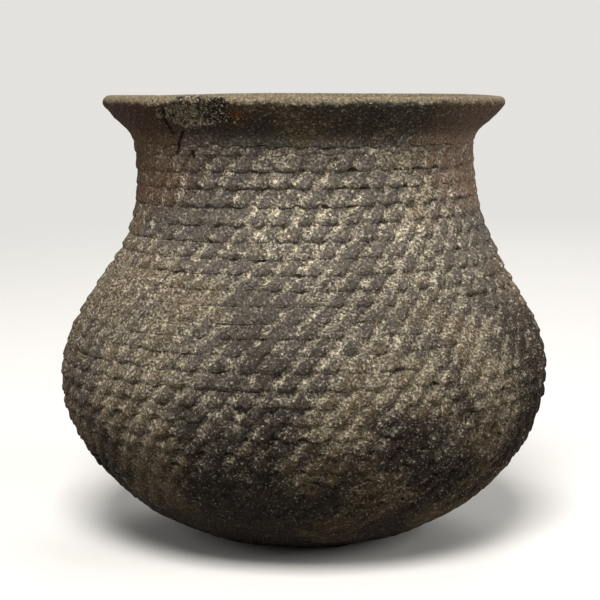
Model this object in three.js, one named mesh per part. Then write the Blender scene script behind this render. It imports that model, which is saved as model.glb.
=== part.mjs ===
// A small indented-corrugated cooking jar, built as its potter built it: a patted base, ropes of clay
// laid in one rising spiral with each lower edge lapped over the rope beneath and pinned down with a
// fingertip, a smoothed neck band, and a rounded lip. Millimetres, +Z up, the axis of the jar is Z,
// and the photographed side faces -Y.
import * as THREE from 'three';

// Outline of the outside, from the floor to the lip.
const footRadius = 18.5;          // flat that the jar rests on
const footSweep = 24;             // how far the base runs out before it turns up
const bellyRadius = 75;
const bellyHeight = 50;
const bellyBelow = 27;            // fullness of the curve under and over the widest place
const bellyAbove = 26;
const neckRadius = 52;
const neckHeight = 114;
const neckBelow = 33;             // length of the straight run under and over the narrowest place
const neckAbove = 13;
const lipRadius = 61.3;           // outermost edge of the lip
const jarHeight = 135;
const flareSlope = THREE.MathUtils.degToRad(52);
const flareReach = 12;            // how far down the slope of the lip is felt

// Wall.
const wall = 5;
const lipThickness = 3.6;
const seatGap = 0.3;              // clearance between two pieces of clay

// Spiral of ropes, in distances along the outline from the middle of the base.
const baseReach = 30;
const neckBandHeight = 7.5;       // smooth wall between the last rope and the lip
const lipStrip = 5;               // height of the strip that carries the lip
const turns = 31;                 // turns of the seam between the base and the neck band
const ropes = 33;                 // each stops short of one turn, so that the joints walk round
const taperedStart = 0.2;         // turns by which the first rope starts late, as it thins out to nothing
const taperedEnd = 0.3;           // turns by which the last rope ends early

// Lapping of one rope over the one beneath.
const lap = 2.0;                  // hang of the lower edge below its seat
const seatRise = 1.8;             // rise of the seat from its middle to the inside
const tuck = 1.4;                 // how deep the top of a rope is tucked under the next one
const smoothTuck = 0.35;          // the same where the laps are smoothed away
const smoothTurns = 9;            // turns that are smoothed, counted from the base
const blendTurns = 2;             // turns over which the smoothing fades

// Fingertip presses. The odd part of the count makes each turn's presses stand beside those beneath.
const pressesPerTurn = 59.45;
const pressDrop = 1;              // presses fewer in each turn above the belly
const dropStart = 16;             // turn from which the count drops
const pressDepth = 1.3;
const pressLift = 0.8;            // how far a press lifts the lower edge between two lobes

// Flake lost from the outside of the lip.
const flakeAngle = THREE.MathUtils.degToRad(-125);
const flakeSpan = THREE.MathUtils.degToRad(13);
const flakeDepth = 1.3;
const flakeFade = 0.3;            // share of its depth that is left at the lower edge of the lip's strip

// Facets.
const plainColumns = 30;          // columns of points round a smooth face
const lipColumns = 60;
const columnsPerPress = 2;        // one on the lobe and one in the hollow
const outlineSteps = 5;           // points along the outline between the edges of a smooth band
const lipSteps = 6;               // points round the roll of the lip
const pressMargin = 0.2;          // least distance between a column and a rope's end, in columns
const leastRelief = 0.02;         // relief under which a rope needs no columns for its presses
const rounding = 1e-6;            // of a column, so that no column falls on a rope's end

// Colours and finish of the fired clay.
const baseColour = 0x3d2f27;
const ropeColour = 0x6b6158;
const neckColour = 0x4a3c33;
const lipColour = 0x8a7763;
const roughness = 0.92;

const fullTurn = 2 * Math.PI;
const backAngle = Math.PI / 2;    // the spiral starts at the back of the jar

const lipRound = lipThickness / 2;
const lipCentre = new THREE.Vector2(lipRadius - lipRound, jarHeight - lipRound);
const flareAlong = new THREE.Vector2(Math.cos(flareSlope), Math.sin(flareSlope));
const flareOut = new THREE.Vector2(flareAlong.y, -flareAlong.x);
const flareEnd = lipCentre.clone().addScaledVector(flareOut, lipRound);

const outline = new THREE.Path();
outline.moveTo(0, 0);
outline.lineTo(footRadius, 0);
outline.bezierCurveTo(footRadius + footSweep, 0, bellyRadius, bellyHeight - bellyBelow,
  bellyRadius, bellyHeight);
outline.bezierCurveTo(bellyRadius, bellyHeight + bellyAbove, neckRadius, neckHeight - neckBelow,
  neckRadius, neckHeight);
outline.bezierCurveTo(neckRadius, neckHeight + neckAbove, flareEnd.x - flareReach * flareAlong.x,
  flareEnd.y - flareReach * flareAlong.y, flareEnd.x, flareEnd.y);

const outlineLength = outline.getLength();
const lipSeat = outlineLength - lipStrip;
const neckSeat = lipSeat - neckBandHeight;
const rise = (neckSeat - baseReach) / turns;
const seatSlope = (lap + seatRise) / wall;
const seatShift = seatGap * Math.hypot(1, seatSlope);

// The place at a distance along the outline, a depth into the wall and a turn of the spiral.
function place(along, depth, turn) {
  const share = THREE.MathUtils.clamp(along / outlineLength, 0, 1);
  const point = outline.getPoint(share);
  const tangent = outline.getTangent(share);
  const radius = point.x - depth * tangent.y;
  const angle = backAngle + fullTurn * turn;
  return [radius * Math.cos(angle), radius * Math.sin(angle), point.y + depth * tangent.x];
}

// Height of the spiral seam at a turn. It is level at both ends, so that the ropes taper out there.
function seam(turn) {
  return baseReach + rise * THREE.MathUtils.clamp(turn, 0, turns);
}

// 0 where the laps are smoothed away and 1 where they stand proud.
function relief(turn) {
  return THREE.MathUtils.smoothstep(turn, smoothTurns - blendTurns, smoothTurns + blendTurns);
}

// Count of presses from the start of the spiral to a turn, and the turn at which a count is reached.
function pressCount(turn) {
  const past = Math.max(0, turn - dropStart);
  return pressesPerTurn * turn - pressDrop * past * past / 2;
}

function turnOfPress(count) {
  const beyond = count - pressesPerTurn * dropStart;
  if (beyond <= 0) {
    return count / pressesPerTurn;
  }
  const root = Math.sqrt(pressesPerTurn ** 2 - 2 * pressDrop * beyond);
  return dropStart + (pressesPerTurn - root) / pressDrop;
}

// Turns of the columns of points between two turns: even ones, and ones that follow the presses.
function plainTurns(start, end, count = plainColumns) {
  const between = [];
  for (let step = Math.floor(start * count) + 1; step < end * count - rounding; step += 1) {
    between.push(step / count);
  }
  return [start, ...between, end];
}

function pressTurns(start, end) {
  if (relief((start + end) / 2) < leastRelief) {
    return plainTurns(start, end);
  }
  const between = [];
  const last = pressCount(end) * columnsPerPress - pressMargin;
  for (let step = Math.ceil(pressCount(start) * columnsPerPress + pressMargin); step < last; step += 1) {
    between.push(turnOfPress(step / columnsPerPress));
  }
  return [start, ...between, end];
}

// A body is rows of points that run the same way, stitched row to row into one closed skin.
class Skin {
  constructor() {
    this.points = [];
    this.faces = [];
  }

  row(turnsOfRow, pointAt) {
    return turnsOfRow.map((turn) => {
      this.points.push(...pointAt(turn));
      return { turn, index: this.points.length / 3 - 1 };
    });
  }

  face(a, b, c) {
    this.faces.push(a.index, b.index, c.index);
  }

  stitch(lower, upper) {
    let low = 0;
    let high = 0;
    while (low < lower.length - 1 || high < upper.length - 1) {
      const lowDone = low === lower.length - 1;
      const highDone = high === upper.length - 1;
      if (highDone || (!lowDone && lower[low + 1].turn <= upper[high + 1].turn)) {
        this.face(lower[low], lower[low + 1], upper[high]);
        low += 1;
      } else {
        this.face(lower[low], upper[high + 1], upper[high]);
        high += 1;
      }
    }
  }

  // Stitches rows that go round the section, each to the next and the last to the first.
  wrap(rows) {
    rows.forEach((row, number) => this.stitch(row, rows[(number + 1) % rows.length]));
  }

  // Closes the two ends of an open rope with fans.
  cap(rows) {
    const starts = rows.map((row) => row[0]);
    const ends = rows.map((row) => row[row.length - 1]);
    for (let corner = 1; corner < rows.length - 1; corner += 1) {
      this.face(starts[0], starts[corner], starts[corner + 1]);
      this.face(ends[0], ends[corner + 1], ends[corner]);
    }
  }

  mesh(name, material) {
    const geometry = new THREE.BufferGeometry();
    geometry.setAttribute('position', new THREE.Float32BufferAttribute(this.points, 3));
    geometry.setIndex(this.faces);
    geometry.computeVertexNormals();
    const mesh = new THREE.Mesh(geometry, material);
    mesh.name = name;
    return mesh;
  }
}

// A row that closes on itself: its last point is its first.
function closeRow(row) {
  const first = row[0];
  return [...row, { turn: first.turn + 1, index: first.index }];
}

function clay(color) {
  return new THREE.MeshStandardMaterial({ color, roughness, metalness: 0 });
}

// One rope of the spiral between two turns.
function rope(start, end, name, material) {
  const skin = new Skin();
  const lowSeam = (turn) => seam(turn - 1);
  const lipEdge = (turn) => {
    const press = relief(turn) * (0.5 + 0.5 * Math.cos(fullTurn * pressCount(turn)));
    return place(lowSeam(turn) - lap + pressLift * press, pressDepth * press, turn);
  };
  const topEdge = (turn) => {
    const depth = THREE.MathUtils.lerp(smoothTuck, tuck, relief(turn + 1));
    return place(seam(turn) - lap + seatSlope * depth - seatShift, depth, turn);
  };
  const innerTop = (turn) => place(seam(turn) + seatRise - seatShift, wall, turn);
  const innerLow = (turn) => place(lowSeam(turn) + seatRise, wall, turn);
  const rows = [
    skin.row(pressTurns(start, end), lipEdge),
    skin.row(plainTurns(start, end), topEdge),
    skin.row(plainTurns(start, end), innerTop),
    skin.row(plainTurns(start, end), innerLow),
  ];
  skin.wrap(rows);
  skin.cap(rows);
  return skin.mesh(name, material);
}

// The patted disc under the first rope.
function base(material) {
  const skin = new Skin();
  const round = plainTurns(0, 1).slice(0, -1);
  const ring = (along, depth) => closeRow(skin.row(round, (turn) => place(along, depth, turn)));
  const edge = baseReach - lap + seatSlope * smoothTuck - seatShift;
  const inside = baseReach + seatRise - seatShift;
  const rows = [ring(footRadius, 0)];
  for (let step = 1; step <= outlineSteps; step += 1) {
    const share = step / outlineSteps;
    rows.push(ring(THREE.MathUtils.lerp(footRadius, edge, share), smoothTuck * share));
  }
  for (let step = outlineSteps; step >= 0; step -= 1) {
    rows.push(ring(THREE.MathUtils.lerp(footRadius, inside, step / outlineSteps), wall));
  }
  rows.slice(1).forEach((row, below) => skin.stitch(rows[below], row));
  for (const [row, height, turned] of [[rows[0], 0, true], [rows[rows.length - 1], wall, false]]) {
    const [middle] = skin.row([0], () => [0, 0, height]);
    for (let column = 0; column < row.length - 1; column += 1) {
      const pair = turned ? [row[column + 1], row[column]] : [row[column], row[column + 1]];
      skin.face(middle, ...pair);
    }
  }
  return skin.mesh('base_disc', material);
}

// Depth of the wall along the neck, which thins towards the lip.
function thinning(along) {
  return THREE.MathUtils.lerp(wall, lipThickness, THREE.MathUtils.smoothstep(along, neckSeat, lipSeat));
}

// The smooth band of the neck, seated on the last turn of the spiral and carrying the lip.
function neckBand(material) {
  const skin = new Skin();
  const round = plainTurns(0, 1, lipColumns).slice(0, -1);
  const ring = (along, depth) => closeRow(skin.row(round, (turn) => place(along, depth, turn)));
  const outerTop = lipSeat - seatGap;
  const rows = [];
  for (let step = 0; step <= outlineSteps; step += 1) {
    rows.push(ring(THREE.MathUtils.lerp(neckSeat - lap, outerTop, step / outlineSteps), 0));
  }
  for (let step = outlineSteps; step >= 0; step -= 1) {
    const along = THREE.MathUtils.lerp(neckSeat + seatRise, outerTop, step / outlineSteps);
    rows.push(ring(along, step === 0 ? wall : thinning(along)));
  }
  skin.wrap(rows);
  return skin.mesh('neck_band', material);
}

// The rounded lip, with the old flake lost from its outer face.
function lip(material) {
  const skin = new Skin();
  const round = plainTurns(0, 1, lipColumns).slice(0, -1);
  const flake = (turn) => {
    const angle = backAngle + fullTurn * turn - flakeAngle;
    const away = Math.abs(Math.atan2(Math.sin(angle), Math.cos(angle)));
    return flakeDepth * (1 - THREE.MathUtils.smoothstep(away, flakeSpan / 2, flakeSpan));
  };
  const ring = (along, depth, loss) => closeRow(skin.row(round,
    (turn) => place(along, depth + loss * flake(turn), turn)));
  const rollRing = (swing, loss) => closeRow(skin.row(round, (turn) => {
    const reach = lipRound - loss * flake(turn);
    const radius = lipCentre.x + reach * (flareOut.x * Math.cos(swing) + flareAlong.x * Math.sin(swing));
    const height = lipCentre.y + reach * (flareOut.y * Math.cos(swing) + flareAlong.y * Math.sin(swing));
    const angle = backAngle + fullTurn * turn;
    return [radius * Math.cos(angle), radius * Math.sin(angle), height];
  }));
  const rows = [ring(lipSeat, 0, flakeFade), ring((lipSeat + outlineLength) / 2, 0, 1)];
  for (let step = 0; step <= lipSteps; step += 1) {
    const swing = Math.PI * step / lipSteps;
    rows.push(rollRing(swing, Math.max(0, Math.cos(swing))));
  }
  rows.push(ring(lipSeat, thinning(lipSeat), 0));
  skin.wrap(rows);
  return skin.mesh('rim_lip', material);
}

// All the ropes, laid end to end from the base to the neck band. Their joints fall on columns that the
// turns above and below share, so that the facets of two seats match.
function spiral(material) {
  const share = (turns + 1 - taperedStart - taperedEnd) / ropes;
  const halfGap = seatGap / 2 / (fullTurn * neckRadius);
  const joint = (number) => Math.round((taperedStart + share * number) * plainColumns) / plainColumns;
  return Array.from({ length: ropes }, (unused, number) => {
    const name = `coil_${String(number + 1).padStart(2, '0')}`;
    return rope(joint(number) + halfGap, joint(number + 1) - halfGap, name, material);
  });
}

const jar = new THREE.Group();
jar.name = 'jar';
jar.add(base(clay(baseColour)));
jar.add(...spiral(clay(ropeColour)));
jar.add(neckBand(clay(neckColour)));
jar.add(lip(clay(lipColour)));

export default jar;
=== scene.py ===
"""A small indented-corrugated cooking jar, dressed for its picture.

The jar is built as its potter built it: a patted base, ropes of clay spun round the jar in one rising
spiral and pressed down with a fingertip, a smoothed neck band and a rounded lip. Sizes are millimetres
until a mesh is written, which is in metres. Turns of the spiral start at the back of the jar, and
bearings are degrees from the front, positive to the right.
"""

import logging
import math
from dataclasses import dataclass, field
from enum import Enum
from typing import Callable, Sequence

import bpy
import numpy as np
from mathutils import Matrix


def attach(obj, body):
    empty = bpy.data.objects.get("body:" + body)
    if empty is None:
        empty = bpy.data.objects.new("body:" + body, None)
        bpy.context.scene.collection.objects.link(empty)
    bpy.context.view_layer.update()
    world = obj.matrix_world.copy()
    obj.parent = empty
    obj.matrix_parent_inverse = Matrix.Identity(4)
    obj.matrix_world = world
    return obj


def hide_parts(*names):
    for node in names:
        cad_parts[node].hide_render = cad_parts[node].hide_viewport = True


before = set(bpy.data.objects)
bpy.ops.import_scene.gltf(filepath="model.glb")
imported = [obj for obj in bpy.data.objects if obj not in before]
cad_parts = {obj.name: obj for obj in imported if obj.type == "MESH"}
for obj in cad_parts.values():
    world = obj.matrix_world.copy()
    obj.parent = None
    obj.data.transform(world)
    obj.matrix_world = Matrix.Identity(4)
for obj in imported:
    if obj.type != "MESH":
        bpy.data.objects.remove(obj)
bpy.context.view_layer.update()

LOG = logging.getLogger("jar")
MM = 0.001
MERGE = 1e-7
FULL_TURN = 2 * math.pi
SMOOTH_ANGLE = math.radians(60)
SPUN_ROUND = 0.2  # radius of a rope's section as it is spun, round a ring of radius 1
SPUN_MERGE = 1e-5

Pair = tuple[float, float]
Edge = tuple[float, float, float]
Weights = Sequence[tuple[str, float]]
Laid = tuple[np.ndarray, dict[str, np.ndarray]]
Colour = tuple[float, float, float, float] | bpy.types.NodeSocket
Drivers = dict[str, bpy.types.NodeSocket]


class Face(Enum):
    """Which face of the wall a strip of section points lies on, as shares of outside and inside."""

    OUTSIDE = (1.0, 0.0)
    SEAT = (0.0, 0.0)
    INSIDE = (0.0, 1.0)

    @staticmethod
    def shares(parts: Sequence[np.ndarray]) -> list[np.ndarray]:
        """Tells outside from inside round a section of outside, seat, inside and underside.

        Args:
            parts: for the first three in turn, whether each point lies before the end of that strip.

        Returns:
            How far each point is on the outside, and how far on the inside.
        """
        faces = (Face.OUTSIDE, Face.SEAT, Face.INSIDE)
        return [
            np.select(parts, [face.value[side] for face in faces], Face.SEAT.value[side])
            for side in range(2)
        ]


def smoothstep(low: float, high: float, value: np.ndarray) -> np.ndarray:
    """Eases from 0 to 1 between two values.

    Args:
        low: where it leaves 0.
        high: where it reaches 1.
        value: the values to ease.

    Returns:
        The eased values, from 0 to 1.
    """
    share = np.clip((value - low) / (high - low), 0.0, 1.0)
    return share * share * (3 - 2 * share)


def along_strip(corner: np.ndarray, first: int, points: int) -> np.ndarray:
    """Share along a strip of section points, 0 at its first point and 1 at its last."""
    return np.clip((corner - first) / (points - 1), 0, 1)


def between_strips(corner: np.ndarray, first: int, points: int) -> np.ndarray:
    """Share along a strip of section points that starts and ends one point outside the strip."""
    return np.clip((corner - first + 1) / (points + 1), 0, 1)


@dataclass
class Lumps:
    """Smooth seeded noise in space: the unevenness that hands leave in clay."""

    seed: int
    cells: int = 32
    table: np.ndarray = field(init=False)

    def __post_init__(self) -> None:
        """Draws the noise's lattice."""
        shape = (self.cells,) * 3
        self.table = np.random.default_rng(self.seed).uniform(-1, 1, shape)

    def at(self, points: np.ndarray, spacing: float) -> np.ndarray:
        """Reads the noise at points.

        Args:
            points: places in mm, one row each.
            spacing: distance between lumps in mm.

        Returns:
            Values from -1 to 1, one for each point.
        """
        scaled = points / spacing
        floor = np.floor(scaled)
        part = scaled - floor
        part = part * part * (3 - 2 * part)
        cell = floor.astype(int) % self.cells
        total = np.zeros(len(points))
        for corner in np.ndindex(2, 2, 2):
            index = [(cell[:, axis] + corner[axis]) % self.cells for axis in range(3)]
            weight = np.ones(len(points))
            for axis in range(3):
                weight *= part[:, axis] if corner[axis] else 1 - part[:, axis]
            total += weight * self.table[index[0], index[1], index[2]]
        return total

    def along(self, values: np.ndarray, spacing: float, row: float = 0.5) -> np.ndarray:
        """Reads the noise along one line.

        Args:
            values: places on the line.
            spacing: distance between lumps, in the line's own unit.
            row: which line of the noise is read.

        Returns:
            Values from -1 to 1.
        """
        flat = np.full(len(values), row * spacing)
        return self.at(np.column_stack([values, flat, flat]), spacing)


@dataclass(frozen=True)
class Waver:
    """One slow change that a hand makes along a line: its size and spacing, and its row of the noise."""

    size: float
    spacing: float
    row: float = 0.5

    def at(self, hand: Lumps, places: np.ndarray) -> np.ndarray:
        """Its value at places on the line, from minus its size to its size."""
        return self.size * hand.along(places, self.spacing, self.row)


@dataclass(frozen=True)
class Lumpiness:
    """One size of lumps in a surface: their depth and spacing in mm, and their place in the noise."""

    depth: float
    spacing: float
    shift: float = 0.0

    def at(self, lumps: Lumps, points: np.ndarray) -> np.ndarray:
        """Its depth at points in mm, from minus its depth to its depth."""
        return self.depth * lumps.at(points + self.shift, self.spacing)


@dataclass
class Outline:
    """The jar's outside from the middle of the base to the lip, and the wall's thickness."""

    foot_radius: float = 18.5
    foot_sweep: float = 24
    belly_radius: float = 75
    belly_height: float = 50
    belly_below: float = 27
    belly_above: float = 26
    neck_radius: float = 52
    neck_height: float = 114
    neck_below: float = 33
    neck_above: float = 13
    lip_radius: float = 61.3
    jar_height: float = 135
    flare_slope: float = math.radians(52)
    flare_reach: float = 12
    wall: float = 5
    lip_thickness: float = 3.6
    steps: int = 400
    overrun: float = 3

    def __post_init__(self) -> None:
        """Samples the outline once, so that every piece reads the same one."""
        self.lip_round = self.lip_thickness / 2
        flare = np.array([math.cos(self.flare_slope), math.sin(self.flare_slope)])
        flare_out = np.array([flare[1], -flare[0]])
        lip_centre = np.array([self.lip_radius - self.lip_round, self.jar_height - self.lip_round])
        end = lip_centre + self.lip_round * flare_out
        foot = np.array([self.foot_radius, 0.0])
        belly = np.array([self.belly_radius, self.belly_height])
        neck = np.array([self.neck_radius, self.neck_height])
        up = np.array([0.0, 1.0])
        curves = [
            (foot, foot + [self.foot_sweep, 0], belly - self.belly_below * up, belly),
            (belly, belly + self.belly_above * up, neck - self.neck_below * up, neck),
            (neck, neck + self.neck_above * up, end - self.flare_reach * flare, end),
        ]
        points = [np.linspace([0.0, 0.0], foot, self.steps)]
        points += [self.bezier(*curve)[1:] for curve in curves]
        points.append((end + self.overrun * flare)[None])
        path = np.vstack(points)
        self.radii, self.heights = path[:, 0], path[:, 1]
        self.reach = np.concatenate([[0], np.cumsum(np.hypot(*np.diff(path, axis=0).T))])
        self.length = float(self.reach[-2])
        heading = np.gradient(path, self.reach, axis=0)
        heading /= np.linalg.norm(heading, axis=1)[:, None]
        self.run, self.climb = heading[:, 0], heading[:, 1]

    def bezier(
        self, start: np.ndarray, lean: np.ndarray, pull: np.ndarray, end: np.ndarray
    ) -> np.ndarray:
        """Samples one curve between two points.

        Args:
            start: the first point.
            lean: the handle that the curve leaves it by.
            pull: the handle that it comes to the last point by.
            end: the last point.

        Returns:
            Points on the curve, one row each.
        """
        share = np.linspace(0, 1, self.steps)[:, None]
        rest = 1 - share
        return rest**3 * start + 3 * rest**2 * share * lean + 3 * rest * share**2 * pull + share**3 * end

    def radius(self, reach: np.ndarray) -> np.ndarray:
        """Radius of the outside at distances along the outline."""
        return np.interp(reach, self.reach, self.radii)

    def place(self, reach: np.ndarray, depth: np.ndarray, turn: np.ndarray) -> np.ndarray:
        """Finds points in space.

        Args:
            reach: distance along the outline from the middle of the base.
            depth: depth into the wall from the outline.
            turn: turn of the spiral, of which one is once round.

        Returns:
            Points in mm, one row each.
        """
        radius = self.radius(reach) - depth * np.interp(reach, self.reach, self.climb)
        height = np.interp(reach, self.reach, self.heights)
        height = height + depth * np.interp(reach, self.reach, self.run)
        angle = math.pi / 2 + FULL_TURN * turn
        return np.column_stack([radius * np.cos(angle), radius * np.sin(angle), height])

    def bearing(self, turn: np.ndarray) -> np.ndarray:
        """Degrees from the front, positive to the right, at turns of the spiral."""
        return (np.degrees(FULL_TURN * turn) % 360) - 180


@dataclass
class Spiral:
    """Where the ropes lie, how they lap, and how a fingertip pressed them."""

    outline: Outline
    hand: Lumps = field(default_factory=lambda: Lumps(11))

    # Ropes, in mm along the outline and in turns of the spiral.
    base_reach: float = 30
    neck_band_height: float = 7.5
    lip_strip: float = 5
    turns: int = 31
    ropes: int = 33
    tapered_start: float = 0.2
    tapered_end: float = 0.3
    thin_end: float = 0.008  # what is left of a turn where a rope thins out to nothing
    joint_columns: int = 30

    # Laps, and the waver of the seams between them.
    lap: float = 2.0
    seat_rise: float = 1.8
    tuck: float = 1.4
    smooth_tuck: float = 0.35
    smooth_turns: float = 8
    blend_turns: float = 3
    lap_step: float = 0.85
    seam_wavers: Sequence[Waver] = (Waver(0.34, 0.055), Waver(0.22, 0.017, 3.5), Waver(0.5, 0.19, 24.5))
    settled_start: Pair = (0.5, 2)
    settled_end: float = 0.3

    # Presses of the fingertip.
    presses: float = 59.45
    press_drop: float = 1
    drop_start: float = 16
    press_depth: float = 1.45
    press_lift: float = 0.95
    press_slant: float = 0.55
    press_edge: Pair = (0.25, 0.95)
    press_waver: Waver = Waver(0.26, 1.7, 9.5)
    usual_press: float = 0.78
    depth_waver: Waver = Waver(0.55, 1.3, 12.5)

    # How proud the laps stand, as shares of their full relief.
    usual_relief: float = 0.86
    relief_waver: Waver = Waver(0.2, 0.13, 6.5)
    top_loss: float = 0.3
    top_blend: Pair = (-0.1, 0.2)
    rubbed_loss: float = 0.7
    rubbed_left: Pair = (-75, 36)
    rubbed_right: Pair = (92, 22)
    rubbed_blend: float = 3

    # Seams rubbed shut and seams that gape, by turns of the spiral.
    worn_turn: float = 20  # turn round which the belly is rubbed
    worn_spread: float = 3.2
    worn_shut: float = 0.6
    worn_blend: float = 0.2
    shut_from: float = 0.1
    shut_blend: float = 0.8
    shut_waver: Waver = Waver(1.0, 0.027, 15.5)
    rubbed_shut: float = 0.9
    last_shut: Pair = (-1.15, -1.05)
    last_crack: Pair = (31.44, 31.68)  # turns between which the last seam gapes
    crack_opens: Pair = (-0.03, 0.02)
    crack_closes: float = 0.1
    gape_turn: float = 26  # turn at which the neck's long cracks begin
    neck_open: float = 0.25
    neck_cracks: float = 0.35
    low_turn: float = 15  # turn under which the cracks are long again
    low_cracks: float = 0.3
    gape_edge: Pair = (0.05, 0.5)
    gape_waver: Waver = Waver(1.0, 0.012, 21.5)

    def __post_init__(self) -> None:
        """Works out the seats from the outline."""
        self.lip_seat = self.outline.length - self.lip_strip
        self.neck_seat = self.lip_seat - self.neck_band_height
        self.rise = (self.neck_seat - self.base_reach) / self.turns
        self.seat_slope = (self.lap + self.seat_rise) / self.outline.wall

    def joint(self, number: int) -> float:
        """Finds where a rope starts and the one before it ends. The thin ends run right out.

        Args:
            number: number of the rope, from 0, or the number of ropes for the end of the last one.

        Returns:
            The turn of the spiral.
        """
        if number == 0:
            return self.thin_end
        if number == self.ropes:
            return self.turns + 1 - self.thin_end
        share = (self.turns + 1 - self.tapered_start - self.tapered_end) / self.ropes
        return round((self.tapered_start + share * number) * self.joint_columns) / self.joint_columns

    def seam(self, turn: np.ndarray) -> np.ndarray:
        """Finds the spiral seam, with the waver that hands give it.

        Args:
            turn: turn of the spiral.

        Returns:
            Distance along the outline in mm.
        """
        level = self.base_reach + self.rise * np.clip(turn, 0, self.turns)
        free = smoothstep(*self.settled_start, turn)
        free = free * (1 - smoothstep(self.turns - self.settled_end, self.turns, turn))
        return level + free * sum(waver.at(self.hand, turn) for waver in self.seam_wavers)

    def relief(self, turn: np.ndarray) -> np.ndarray:
        """Tells how proud the laps stand.

        Args:
            turn: turn of the spiral.

        Returns:
            0 where they are smoothed away and about 1 where they stand proud.
        """
        low, high = self.smooth_turns - self.blend_turns, self.smooth_turns + self.blend_turns
        top = smoothstep(self.turns + self.top_blend[0], self.turns + self.top_blend[1], turn)
        proud = smoothstep(low, high, turn) * (1 - self.top_loss * top)
        usual = self.usual_relief + self.relief_waver.at(self.hand, turn)
        return proud * (1 - self.rubbed_loss * self.rubbed(turn)) * usual

    def rubbed(self, turn: np.ndarray) -> np.ndarray:
        """Tells where the jar was held by its neck and its presses were rubbed down.

        Args:
            turn: turn of the spiral.

        Returns:
            1 in the middle of the neck's two flanks, 0 away from them.
        """
        bearing = self.outline.bearing(turn)
        flanks = [
            np.exp(-(((bearing - middle) / spread) ** 2))
            for middle, spread in (self.rubbed_left, self.rubbed_right)
        ]
        low, high = self.gape_turn - self.rubbed_blend, self.gape_turn + self.rubbed_blend
        return smoothstep(low, high, turn) * np.maximum(*flanks)

    def count(self, turn: np.ndarray) -> np.ndarray:
        """Counts presses from the start of the spiral, unevenly spaced as fingertips are.

        Args:
            turn: turn of the spiral.

        Returns:
            The count, a whole number in the middle of a hollow.
        """
        past = np.maximum(0, turn - self.drop_start)
        even = self.presses * turn - self.press_drop * past * past / 2
        return even + self.press_waver.at(self.hand, even)

    def hollow(self, turn: np.ndarray, share: np.ndarray) -> np.ndarray:
        """Tells how deep a fingertip went.

        Args:
            turn: turn of the spiral.
            share: height on the rope's face, from 0 at its lower edge to 1 at its tucked top.

        Returns:
            0 on a lobe and about 1 in the middle of a hollow.
        """
        phase = self.count(turn) - self.press_slant * share
        wave = smoothstep(*self.press_edge, 0.5 + 0.5 * np.cos(FULL_TURN * phase))
        return wave * (self.usual_press + self.depth_waver.at(self.hand, np.round(phase)))

    def smear(self, turn: np.ndarray) -> np.ndarray:
        """Tells how far the seam above a turn was rubbed shut.

        Most seams are shut where the belly rubs and on the neck's flanks. The last one gapes on the right
        of the front alone, and the neck band's own is smoothed away.

        Args:
            turn: turn of the spiral.

        Returns:
            1 where the seam is shut, 0 where it gapes.
        """
        worn = np.exp(-(((turn - self.worn_turn) / self.worn_spread) ** 2))
        open_neck = smoothstep(self.gape_turn - 1, self.gape_turn + 1, turn)
        low = self.neck_open * open_neck - self.shut_from - self.worn_shut * worn
        high = low + self.shut_blend + self.worn_blend * worn
        shut = smoothstep(low, high, self.shut_waver.at(self.hand, turn))
        start, end = self.last_crack
        cracked = smoothstep(start + self.crack_opens[0], start + self.crack_opens[1], turn)
        cracked = cracked * (1 - smoothstep(end, end + self.crack_closes, turn))
        last = smoothstep(self.turns + self.last_shut[0], self.turns + self.last_shut[1], turn)
        return np.maximum(np.maximum(shut, last * (1 - cracked)), self.rubbed_shut * self.rubbed(turn))

    def gape(self, turn: np.ndarray) -> np.ndarray:
        """Tells how wide an open seam gapes, which sets where its mouth is painted dark with soot and
        painted shade: in long cracks on the neck and low down, short between.

        Args:
            turn: turn of the spiral below the seam.

        Returns:
            1 where it gapes, 0 where it is tight.
        """
        longer = self.neck_cracks * smoothstep(self.gape_turn - 1, self.gape_turn + 2, turn)
        longer += self.low_cracks * (1 - smoothstep(self.low_turn - 1, self.low_turn + 1, turn))
        low, high = self.gape_edge
        return smoothstep(low - longer, high - longer, self.gape_waver.at(self.hand, turn))


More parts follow.
